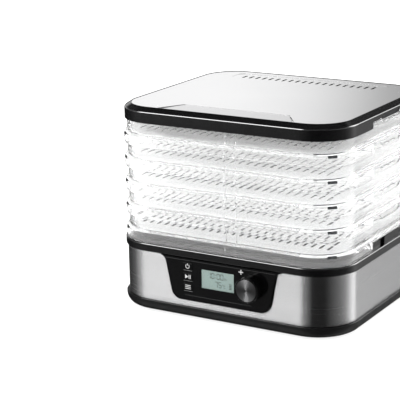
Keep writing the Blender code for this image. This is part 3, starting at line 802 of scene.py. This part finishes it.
def build_deck():
    ring_top = 96.2
    rim_top = 103.3
    deck_top = 97.5
    profile = [(-4.2, 94.0), (-4.2, 81.0), (-2.2, 81.0), (-2.2, WRAP_HIGH.z + 0.4), (2.3, WRAP_HIGH.z + 0.4),
               (2.9, 86.6), (2.9, ring_top), (-3.6, ring_top), (-3.6, rim_top), (-5.4, rim_top),
               (-5.4, deck_top)]
    radii = [0, 0, 0, 0, 0.6, 0.6, 1.6, 0.5, 0.5, 0.5, 0]
    deck = make_object("deck_moulding", shell(fillet(profile, radii, 5)))
    carve(deck, "UNION", posts(BOSSES, 4.5, 6.3, 95.0))
    lug = rectangle((GRIP_Y, (95.0 + DECK_HIGH.z) / 2), 2 * GRIP_FLAT, DECK_HIGH.z - 95.0, 1.6, 4)
    for side in (-1, 1):
        low, high = sorted((side * 159.0, side * 167.0))
        carve(deck, "UNION", prism(lug, low, high, "X"))
    outlet = (0.0, FAN_Y, 0.0)
    collar = turned([(60.2, 86.0), (60.2, 95.0), (58.2, 95.0), (58.2, 86.0)], ring=True)
    carve(deck, "UNION", collar, at=outlet)
    carve(deck, "DIFFERENCE", turned([(57.0, 80.0), (57.0, 110.0)]), at=outlet)
    carve(deck, "DIFFERENCE", posts(BOSSES, 1.8, 0.0, 20.0))
    carve(deck, "DIFFERENCE", posts([(72.0, FAN_Y - MIDDLE_Y)], 2.6, 80.0, 110.0))
    finish_piece(deck, "base", finish_of("black_gloss"), ["base_deck"], bevel=0.25)
    # The ring's top edge takes the painted highlight
    paint_edge_highlights(deck, ring_top - 2.0, ring_top + 0.1)


def build_grille():
    """The air outlet: a domed hub and rings carried on spokes."""
    low, high = GRILLE_LOW.z, GRILLE_HIGH.z
    rings = []
    for outer, inner in ((56.5, 52.0), (44.5, 42.3), (33.5, 31.3), (22.5, 20.3)):
        section = fillet([(inner, low), (outer, low), (outer, high), (inner, high)], 0.7, 3, closed=True)
        rings.append(turned(section, ring=True))
    hub = fillet([(12.0, low), (12.0, high - 0.5), (0.6, high)], [0, 1.0, 0], 4)
    grille = make_object("outlet_guard", turned(hub), (0.0, FAN_Y, 0.0))
    spokes = []
    for number in range(12):
        bar = rectangle((33.0, 0.0), 44.0, 2.4)
        spoke = prism(bar, low + 0.4, high - 0.6, "Z")
        spoke.transform(Matrix.Rotation(math.radians(30.0 * number), 4, "Z"))
        spokes.append(spoke)
    carve(grille, "UNION", *rings, at=(0.0, FAN_Y, 0.0))
    carve(grille, "UNION", *spokes, at=(0.0, FAN_Y, 0.0))
    finish_piece(grille, "base", finish_of("black_matt"), ["outlet_grille"])


def build_pan():
    low, top = PAN_LOW.z, 18.0
    profile = [(-8.0, low), (-3.4, 3.3), (0.2, 5.6), (2.8, 9.4), (4.0, 13.6), (4.2, top), (-1.4, top),
               (-1.4, PAN_HIGH.z), (-3.4, PAN_HIGH.z), (-3.4, 6.0)]
    radii = [0, 6.0, 6.0, 8.0, 12.0, 0.6, 0.3, 0.3, 0.3, 0]
    pan = make_object("pan_moulding", shell(fillet(profile, radii, 4), steps=28))
    slots = []
    for row_y in (FAN_Y - MIDDLE_Y - 46.0, FAN_Y - MIDDLE_Y + 46.0):
        for column in range(9):
            slots.append(prism(rectangle((10.0 * (column - 4), row_y), 3.6, 48.0, 1.7, 3), 1.5, 7.5, "Z"))
    carve(pan, "DIFFERENCE", merged(*slots))
    feet = [(122.0, -104.0), (122.0, 104.0), (-122.0, 104.0), (-122.0, -104.0)]
    carve(pan, "DIFFERENCE", posts(feet, 3.3, 0.0, 8.0))
    carve(pan, "DIFFERENCE", posts(BOSSES, 2.0, 0.0, 8.0))
    carve(pan, "DIFFERENCE", posts(BOSSES, 4.2, 0.0, 4.6))
    carve(pan, "DIFFERENCE", posts([(-41.0, FAN_Y - MIDDLE_Y), (41.0, FAN_Y - MIDDLE_Y)], 1.8, 0.0, 8.0))
    finish_piece(pan, "base", finish_of("black_matt"), ["base_pan"])


# ---- panel


def build_panel():
    face, back = PANEL_LOW.y - MIDDLE_Y, -144.5
    panel = make_object("panel_fascia", prism(panel_outline(), face, back, "Y"))
    window = front_rectangle(LENS_LOW, LENS_HIGH, 0.6, 0.6, 3)
    openings = [prism(window, face - 3.0, back + 3.0, "Y")]
    for name in KEY_NAMES:
        hole = front_rectangle(*span(f"{name}_key"), 0.8, 1.5, 3)
        openings.append(prism(hole, face - 3.0, back + 3.0, "Y"))
    carve(panel, "DIFFERENCE", merged(*openings))
    knob = (KNOB_LOW + KNOB_HIGH) / 2
    bush = turned([(4.6, -10.0), (4.6, 10.0)])
    carve(panel, "DIFFERENCE", bush, at=(knob.x, PANEL_LOW.y, knob.z), turn=(90.0, 0.0, 0.0))
    for height, start, end in ((34.6, -53.0, 47.0), (82.2, -84.0, 82.0)):
        section = arc((face + 0.1, height), 0.55, 90.0, 270.0, 10)
        carve(panel, "UNION", prism(section, start, end, "X"))
    finish_piece(panel, "base", finish_of("black_panel"), ["control_panel"], bevel=0.5)


def build_keys():
    for name in KEY_NAMES:
        low, high = span(f"{name}_key")
        face = front_rectangle(low, high, 0.0, 1.2, 4)
        key = make_object(f"{name}_key_cap", prism(face, low.y, high.y, "Y"), (0.0, 0.0, 0.0))
        finish_piece(key, f"{name}_key", finish_of("black_panel"), [f"{name}_key"], bevel=0.35)


def prints(name, body, outlines, depth, material, thickness=0.06):
    """Flat marks that stand a hair proud of a face at depth."""
    made = [prism(outline, depth - thickness, depth + 0.02, "Y") for outline in outlines]
    mark = make_object(name, merged(*made), (0.0, 0.0, 0.0))
    finish_piece(mark, body, finish_of(material), weighted=False)


def ring_outline(centre, radius, width, start, end, steps=20):
    """A band that follows an arc, as one outline."""
    outer = arc(centre, radius + width / 2, start, end, steps)
    return outer + arc(centre, radius - width / 2, end, start, steps)


def bar(x, z, width, height):
    return rectangle((x, z), width, height)


SEGMENTS = {"0": "abcdef", "1": "bc", "5": "afgcd", "7": "abc", "h": "fegc", "C": "afed"}


def digit(symbol, x, z, width, height, stroke):
    """A seven-segment digit with its lower left corner at (x, z)."""
    half = height / 2
    long_x, long_z = width - stroke * 1.3, half - stroke * 1.1
    bars = {
        "a": bar(x + width / 2, z + height - stroke / 2, long_x, stroke),
        "g": bar(x + width / 2, z + half, long_x, stroke),
        "d": bar(x + width / 2, z + stroke / 2, long_x, stroke),
        "b": bar(x + width - stroke / 2, z + half * 1.5, stroke, long_z),
        "c": bar(x + width - stroke / 2, z + half * 0.5, stroke, long_z),
        "f": bar(x + stroke / 2, z + half * 1.5, stroke, long_z),
        "e": bar(x + stroke / 2, z + half * 0.5, stroke, long_z),
    }
    return [bars[segment] for segment in SEGMENTS[symbol]]


def build_display():
    x0, z0 = LENS_LOW.x, LENS_LOW.z
    outline = front_rectangle(LENS_LOW, LENS_HIGH, 0.0, 0.5, 3)
    lens = make_object("display_window", prism(outline, LENS_LOW.y, LENS_HIGH.y, "Y"), (0.0, 0.0, 0.0))
    finish_piece(lens, "base", finish_of("window"), ["lcd_lens"], bevel=0.15)

    marks = []
    for symbol, x in (("1", 9.0), ("0", 14.5), ("0", 22.5), ("0", 28.0)):
        marks += digit(symbol, x0 + x, z0 + 14.4, 4.4, 8.0, 0.85)
    marks += [bar(x0 + 20.8, z0 + 16.6, 0.9, 0.9), bar(x0 + 20.8, z0 + 20.2, 0.9, 0.9)]
    marks += digit("h", x0 + 34.2, z0 + 14.4, 2.6, 4.4, 0.6)
    for symbol, x in (("7", 19.5), ("5", 25.0)):
        marks += digit(symbol, x0 + x, z0 + 3.4, 4.4, 8.0, 0.85)
    marks.append(ring_outline((x0 + 31.3, z0 + 8.2), 0.7, 0.35, 0, 359, 14))
    marks += digit("C", x0 + 32.8, z0 + 3.4, 2.6, 4.4, 0.6)
    for level in range(4):
        marks.append(bar(x0 + 42.6, z0 + 4.0 + 2.1 * level, 3.6, 1.2))
    prints("display_digits", "base", marks, MODULE_LOW.y, "lcd_dark")


def build_icons():
    """Signs: power, start and pause, three lines for settings, plus and minus."""
    for name in KEY_NAMES:
        low, high = span(f"{name}_key")
        x, z = (low.x + high.x) / 2, (low.z + high.z) / 2
        if name == "power":
            outlines = [ring_outline((x, z), 2.7, 0.8, 125.0, 415.0, 26), bar(x, z + 2.4, 0.8, 2.8)]
        elif name == "start":
            outlines = [[(x - 3.9, z - 2.9), (x + 0.6, z), (x - 3.9, z + 2.9)]]
            outlines += [bar(x + 1.9, z, 0.9, 5.6), bar(x + 3.9, z, 0.9, 5.6)]
        else:
            outlines = [bar(x, z + 2.3, 8.6, 0.9), bar(x, z, 8.6, 0.9), bar(x, z - 2.3, 8.6, 0.9)]
        prints(f"{name}_sign", f"{name}_key", outlines, low.y, "white_print")
    knob = (KNOB_LOW + KNOB_HIGH) / 2
    lines = [bar(span(f"{name}_key")[0].x + 7.5, span(f"{name}_key")[0].z - 1.3, 13.0, 0.35)
             for name in KEY_NAMES]
    prints("key_lines", "base", lines, FRONT_FACE, "grey_print")
    left = knob.x - 15.2
    signs = [bar(left, knob.z + 18.5, 6.6, 1.3), bar(left, knob.z + 20.5, 1.3, 2.65),
             bar(left, knob.z + 16.5, 1.3, 2.65), bar(left, knob.z - 18.5, 6.6, 1.3)]
    prints("knob_signs", "base", signs, FRONT_FACE, "white_print")


def build_knob():
    """A black skirted knob with a dished spun-metal cap."""
    centre = (KNOB_LOW + KNOB_HIGH) / 2
    radius = (KNOB_HIGH.x - KNOB_LOW.x) / 2
    reach = FRONT_FACE - KNOB_LOW.y
    place = (centre.x, FRONT_FACE, centre.z)
    side = [(3.3, 9.4), (3.3, 0.4), (radius - 0.6, 0.4), (radius, 1.0), (radius - 0.5, reach - 1.3),
            (radius - 1.3, reach), (radius - 2.2, reach), (radius - 2.7, reach - 0.5)]
    rounded = fillet(side, [0, 0, 0.4, 0.4, 0.8, 0.6, 0.4, 0], 4)
    knob = make_object("knob_body", turned(rounded, steps=96), place, (90.0, 0.0, 0.0))
    finish_piece(knob, "knob", finish_of("black_panel"), ["control_knob"])
    cap_profile = [(radius - 2.9, reach - 0.9), (radius - 2.9, reach - 0.35), (radius - 3.1, reach - 0.15),
                   (radius - 3.4, reach - 0.1), (1.0, reach - 0.45), (0.05, reach - 0.5)]
    cap = make_object("knob_cap", turned(cap_profile, steps=96), place, (90.0, 0.0, 0.0))
    finish_piece(cap, "knob", finish_of("spun_face"))


# ---- what stays from the CAD model

KEPT = {
    "control_board": "board", "power_board": "board", "power_switch": "black_matt",
    "start_switch": "black_matt", "set_switch": "black_matt", "encoder_shaft": "zinc",
    "encoder_body": "zinc", "fan_motor": "zinc", "motor_shaft": "shaft_steel",
    "fan_impeller": "fan_plastic", "motor_bracket": "zinc", "fan_duct": "zinc",
    "heater_support": "zinc", "heating_element": "heater", "thermal_cutout": "black_matt",
    "thermal_fuse": "zinc", "temperature_probe": "shaft_steel", "heater_relay": "black_matt",
    "transformer": "fan_plastic", "cord_gland": "rubber", "foot": "rubber", "base_screw": "zinc",
    "board_screw": "zinc", "bracket_screw": "zinc", "lid_screw": "zinc", "lid_seal": "rubber",
    "lid_liner": "black_matt", "lcd_module": "lcd_face",
}


def dress_kept_nodes():
    for name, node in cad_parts.items():
        key = name if name in KEPT else name.rsplit("_", 1)[0]
        if key in KEPT and not node.hide_render:
            node.data.materials.clear()
            node.data.materials.append(finish_of(KEPT[key]))


# ---- studio


# What a shiny surface sees from below the horizon to a little above it: azimuth in degrees from the
# front, turning to the right, and brightness
WALL_CARDS = [
    (-180, 0.30), (-150, 0.05), (-112, 0.02), (-100, 0.10), (-78, 0.25), (-62, 0.84), (-45, 1.1),
    (-31, 1.16), (-27.5, 0.72), (-14, 0.42), (2, 0.16), (10, 0.01), (42, 0.008), (52, 0.03), (62, 0.07),
    (85, 0.17), (103, 0.32), (116, 0.56), (125, 0.9), (129, 1.6), (138, 1.6), (143, 0.7), (148, 0.3),
    (155.6, 0.14), (160, 0.12), (180, 0.30),
]
# The band of flags below the horizon that gloss black sides mirror
FLAG_CARDS = [
    (-180, 0.15), (-112, 0.02), (-78, 0.10), (-62, 0.22), (-45, 0.30), (-31, 0.25), (-14, 0.12), (2, 0.04),
    (10, 0.008), (46, 0.008), (62, 0.05), (85, 0.12), (103, 0.22), (118, 0.5), (128, 0.85), (137, 1.0),
    (148, 0.62), (156, 0.5), (160, 0.4), (180, 0.3),
]
# The strip just above the horizon that the lid's flat top mirrors
TOP_CARDS = [
    (-180, 0.22), (-160, 0.30), (-156.5, 0.45), (-155.1, 0.72), (-152.6, 1.04), (-150, 1.14), (-140, 1.1),
    (-112, 0.6), (-100, 0.3), (-78, 0.25), (-62, 0.72), (-45, 0.98), (-31, 1.02), (-14, 0.46), (4, 0.15),
    (46, 0.12), (85, 0.3), (103, 0.4), (125, 1.0), (150, 0.9), (165, 0.3), (180, 0.2),
]
# A bright lamp at the front left and one behind to the right, which draw lines along rounded edges
LAMP_CARDS = [
    (-180, 0.10), (-58, 0.10), (-53, 7.0), (-21, 7.0), (-16, 0.3), (10, 0.05), (60, 0.05), (130, 0.3),
    (140, 5.0), (163, 5.0), (168, 0.2), (180, 0.1),
]
OVERHEAD = 0.05
# Elevations, in degrees, over which one kind gives way to the next
FLAGS_START = (-32.0, -27.0)
FLAGS_END = (-12.0, -8.0)
TOP_START = (2.0, 6.0)
LAMPS_START = (16.0, 19.0)
LAMPS_END = (40.0, 46.0)
# Brightness of the white that the camera sees, and of the soft light on matt surfaces
BACKDROP = 1.05
SOFT_LIGHT = 3.2
# Lamps that only matt surfaces see, in degrees, metres and watts
LAMP_AZIMUTHS = (-115.0, -45.0, 45.0, 115.0, 180.0)
LAMP_ELEVATION = 14.0
LAMP_DISTANCE = 2.2
LAMP_SIZE = 1.4
LAMP_POWER = 14.0


def cards(tree, azimuth, stops):
    """Brightness by azimuth. A colour ramp holds it, with azimuth from -180 to 180 as 0 to 1."""
    ramp = tree.nodes.new("ShaderNodeValToRGB")
    peak = max(level for _, level in stops)
    elements = ramp.color_ramp.elements
    while len(elements) > 1:
        elements.remove(elements[0])
    for index, (angle, level) in enumerate(stops):
        place = angle / 360.0 + 0.5
        element = elements[0] if index == 0 else elements.new(place)
        element.position = place
        element.color = (level / peak,) * 3 + (1.0,)
    tree.links.new(azimuth, ramp.inputs[0])
    scale = tree.nodes.new("ShaderNodeVectorMath")
    scale.operation = "SCALE"
    scale.inputs["Scale"].default_value = peak
    tree.links.new(ramp.outputs["Color"], scale.inputs[0])
    return scale.outputs[0]


def build_world():
    """White all round for sight and soft light. Shiny surfaces see cards and flags instead."""
    world = bpy.data.worlds.new("studio")
    bpy.context.scene.world = world
    world.use_nodes = True
    world.cycles.sampling_method = "NONE"
    tree = world.node_tree
    tree.nodes.clear()

    def math_node(operation, first, second=None):
        node = tree.nodes.new("ShaderNodeMath")
        node.operation = operation
        for socket, value in zip(node.inputs, (first, second)):
            if value is None:
                continue
            if isinstance(value, (int, float)):
                socket.default_value = value
            else:
                tree.links.new(value, socket)
        return node.outputs[0]

    def blend(factor, low, high):
        mix = tree.nodes.new("ShaderNodeMix")
        mix.data_type = "RGBA"
        tree.links.new(factor, mix.inputs[0])
        for socket, value in ((mix.inputs[6], low), (mix.inputs[7], high)):
            if isinstance(value, (int, float)):
                socket.default_value = (value, value, value, 1.0)
            else:
                tree.links.new(value, socket)
        return mix.outputs[2]

    def above(height, start, end):
        """0 below the first elevation and 1 above the second, in degrees."""
        node = tree.nodes.new("ShaderNodeMapRange")
        node.inputs["From Min"].default_value = math.sin(math.radians(start))
        node.inputs["From Max"].default_value = math.sin(math.radians(end))
        tree.links.new(height, node.inputs["Value"])
        return node.outputs[0]

    direction = tree.nodes.new("ShaderNodeTexCoord").outputs["Generated"]
    parts = tree.nodes.new("ShaderNodeSeparateXYZ")
    tree.links.new(direction, parts.inputs[0])
    back = math_node("MULTIPLY", parts.outputs["Y"], -1.0)
    turn = math_node("ARCTAN2", parts.outputs["X"], back)
    azimuth = math_node("ADD", math_node("DIVIDE", turn, 2 * math.pi), 0.5)
    height = parts.outputs["Z"]
    wall = cards(tree, azimuth, WALL_CARDS)
    seen = blend(above(height, *FLAGS_START), wall, cards(tree, azimuth, FLAG_CARDS))
    seen = blend(above(height, *FLAGS_END), seen, wall)
    seen = blend(above(height, *TOP_START), seen, cards(tree, azimuth, TOP_CARDS))
    seen = blend(above(height, *LAMPS_START), seen, cards(tree, azimuth, LAMP_CARDS))
    seen = blend(above(height, *LAMPS_END), seen, OVERHEAD)

    shiny = tree.nodes.new("ShaderNodeBackground")
    tree.links.new(seen, shiny.inputs["Color"])
    plain = tree.nodes.new("ShaderNodeBackground")
    plain.inputs["Color"].default_value = (1.0, 1.0, 1.0, 1.0)
    path = tree.nodes.new("ShaderNodeLightPath")
    soft = math_node("GREATER_THAN", path.outputs["Diffuse Depth"], 0.5)
    strength = math_node("ADD", math_node("MULTIPLY", soft, SOFT_LIGHT - BACKDROP), BACKDROP)
    tree.links.new(strength, plain.inputs["Strength"])
    outside = math_node("LESS_THAN", path.outputs["Transmission Depth"], 0.5)
    mix = tree.nodes.new("ShaderNodeMixShader")
    tree.links.new(math_node("MULTIPLY", path.outputs["Is Glossy Ray"], outside), mix.inputs[0])
    tree.links.new(plain.outputs[0], mix.inputs[1])
    tree.links.new(shiny.outputs[0], mix.inputs[2])
    output = tree.nodes.new("ShaderNodeOutputWorld")
    tree.links.new(mix.outputs[0], output.inputs["Surface"])


def build_lamps():
    """Soft lamps round the object, low enough to light the tray floors through the walls."""
    for azimuth in LAMP_AZIMUTHS:
        turn, rise = math.radians(azimuth), math.radians(LAMP_ELEVATION)
        away = Vector((math.sin(turn) * math.cos(rise), -math.cos(turn) * math.cos(rise), math.sin(rise)))
        data = bpy.data.lights.new("soft_lamp", "AREA")
        data.size = LAMP_SIZE
        data.energy = LAMP_POWER
        lamp = bpy.data.objects.new("soft_lamp", data)
        lamp.rotation_mode = "QUATERNION"
        lamp.rotation_quaternion = away.to_track_quat("Z", "Y")
        lamp.location = away * LAMP_DISTANCE + Vector((0.0, 0.0, 0.18))
        lamp.visible_glossy = False
        lamp.visible_camera = False
        lamp.visible_transmission = False
        bpy.context.scene.collection.objects.link(lamp)


def build_floor():
    mesh = bmesh.new()
    bmesh.ops.create_grid(mesh, x_segments=1, y_segments=1, size=9000.0)
    floor = make_object("studio_floor", mesh, (0.0, 0.0, 0.0))
    finish = Finish("studio_white", (0.25, 0.25, 0.25), 0.9, specular=0.0)
    finish.set("Emission Color", (1.0, 1.0, 1.0, 1.0))
    finish.set("Emission Strength", 0.78)
    floor.data.materials.append(finish.material)
    floor.visible_glossy = False


def build_camera():
    azimuth, elevation = math.radians(CAMERA_AZIMUTH), math.radians(CAMERA_ELEVATION)
    back = Vector((math.sin(azimuth) * math.cos(elevation), -math.cos(azimuth) * math.cos(elevation),
                   math.sin(elevation)))
    target = Vector((CAMERA_TARGET[0], CAMERA_TARGET[1] + MIDDLE_Y, CAMERA_TARGET[2])) * MM
    camera = bpy.data.objects.new("camera", bpy.data.cameras.new("camera"))
    camera.data.lens = CAMERA_LENS
    camera.data.sensor_width = 36.0
    camera.rotation_mode = "QUATERNION"
    level = (-back).to_track_quat("-Z", "Y").to_matrix()
    roll = Matrix.Rotation(math.radians(CAMERA_ROLL), 3, "Z")
    camera.rotation_quaternion = (level @ roll).to_quaternion()
    camera.location = target + back * CAMERA_DISTANCE * MM
    bpy.context.scene.collection.objects.link(camera)
    bpy.context.scene.camera = camera


def set_light_paths():
    """Enough bounces to see through the whole stack of clear trays."""
    cycles = bpy.context.scene.cycles
    cycles.max_bounces = 40
    cycles.transmission_bounces = 40
    cycles.transparent_max_bounces = 40
    cycles.glossy_bounces = 8
    cycles.diffuse_bounces = 3
    bpy.context.scene.view_settings.view_transform = "Standard"


build_camera()
build_world()
build_lamps()
build_floor()
set_light_paths()
build_lid()
build_trays()
build_wrap()
build_deck()
build_grille()
build_pan()
build_panel()
build_keys()
build_display()
build_icons()
build_knob()
dress_kept_nodes()
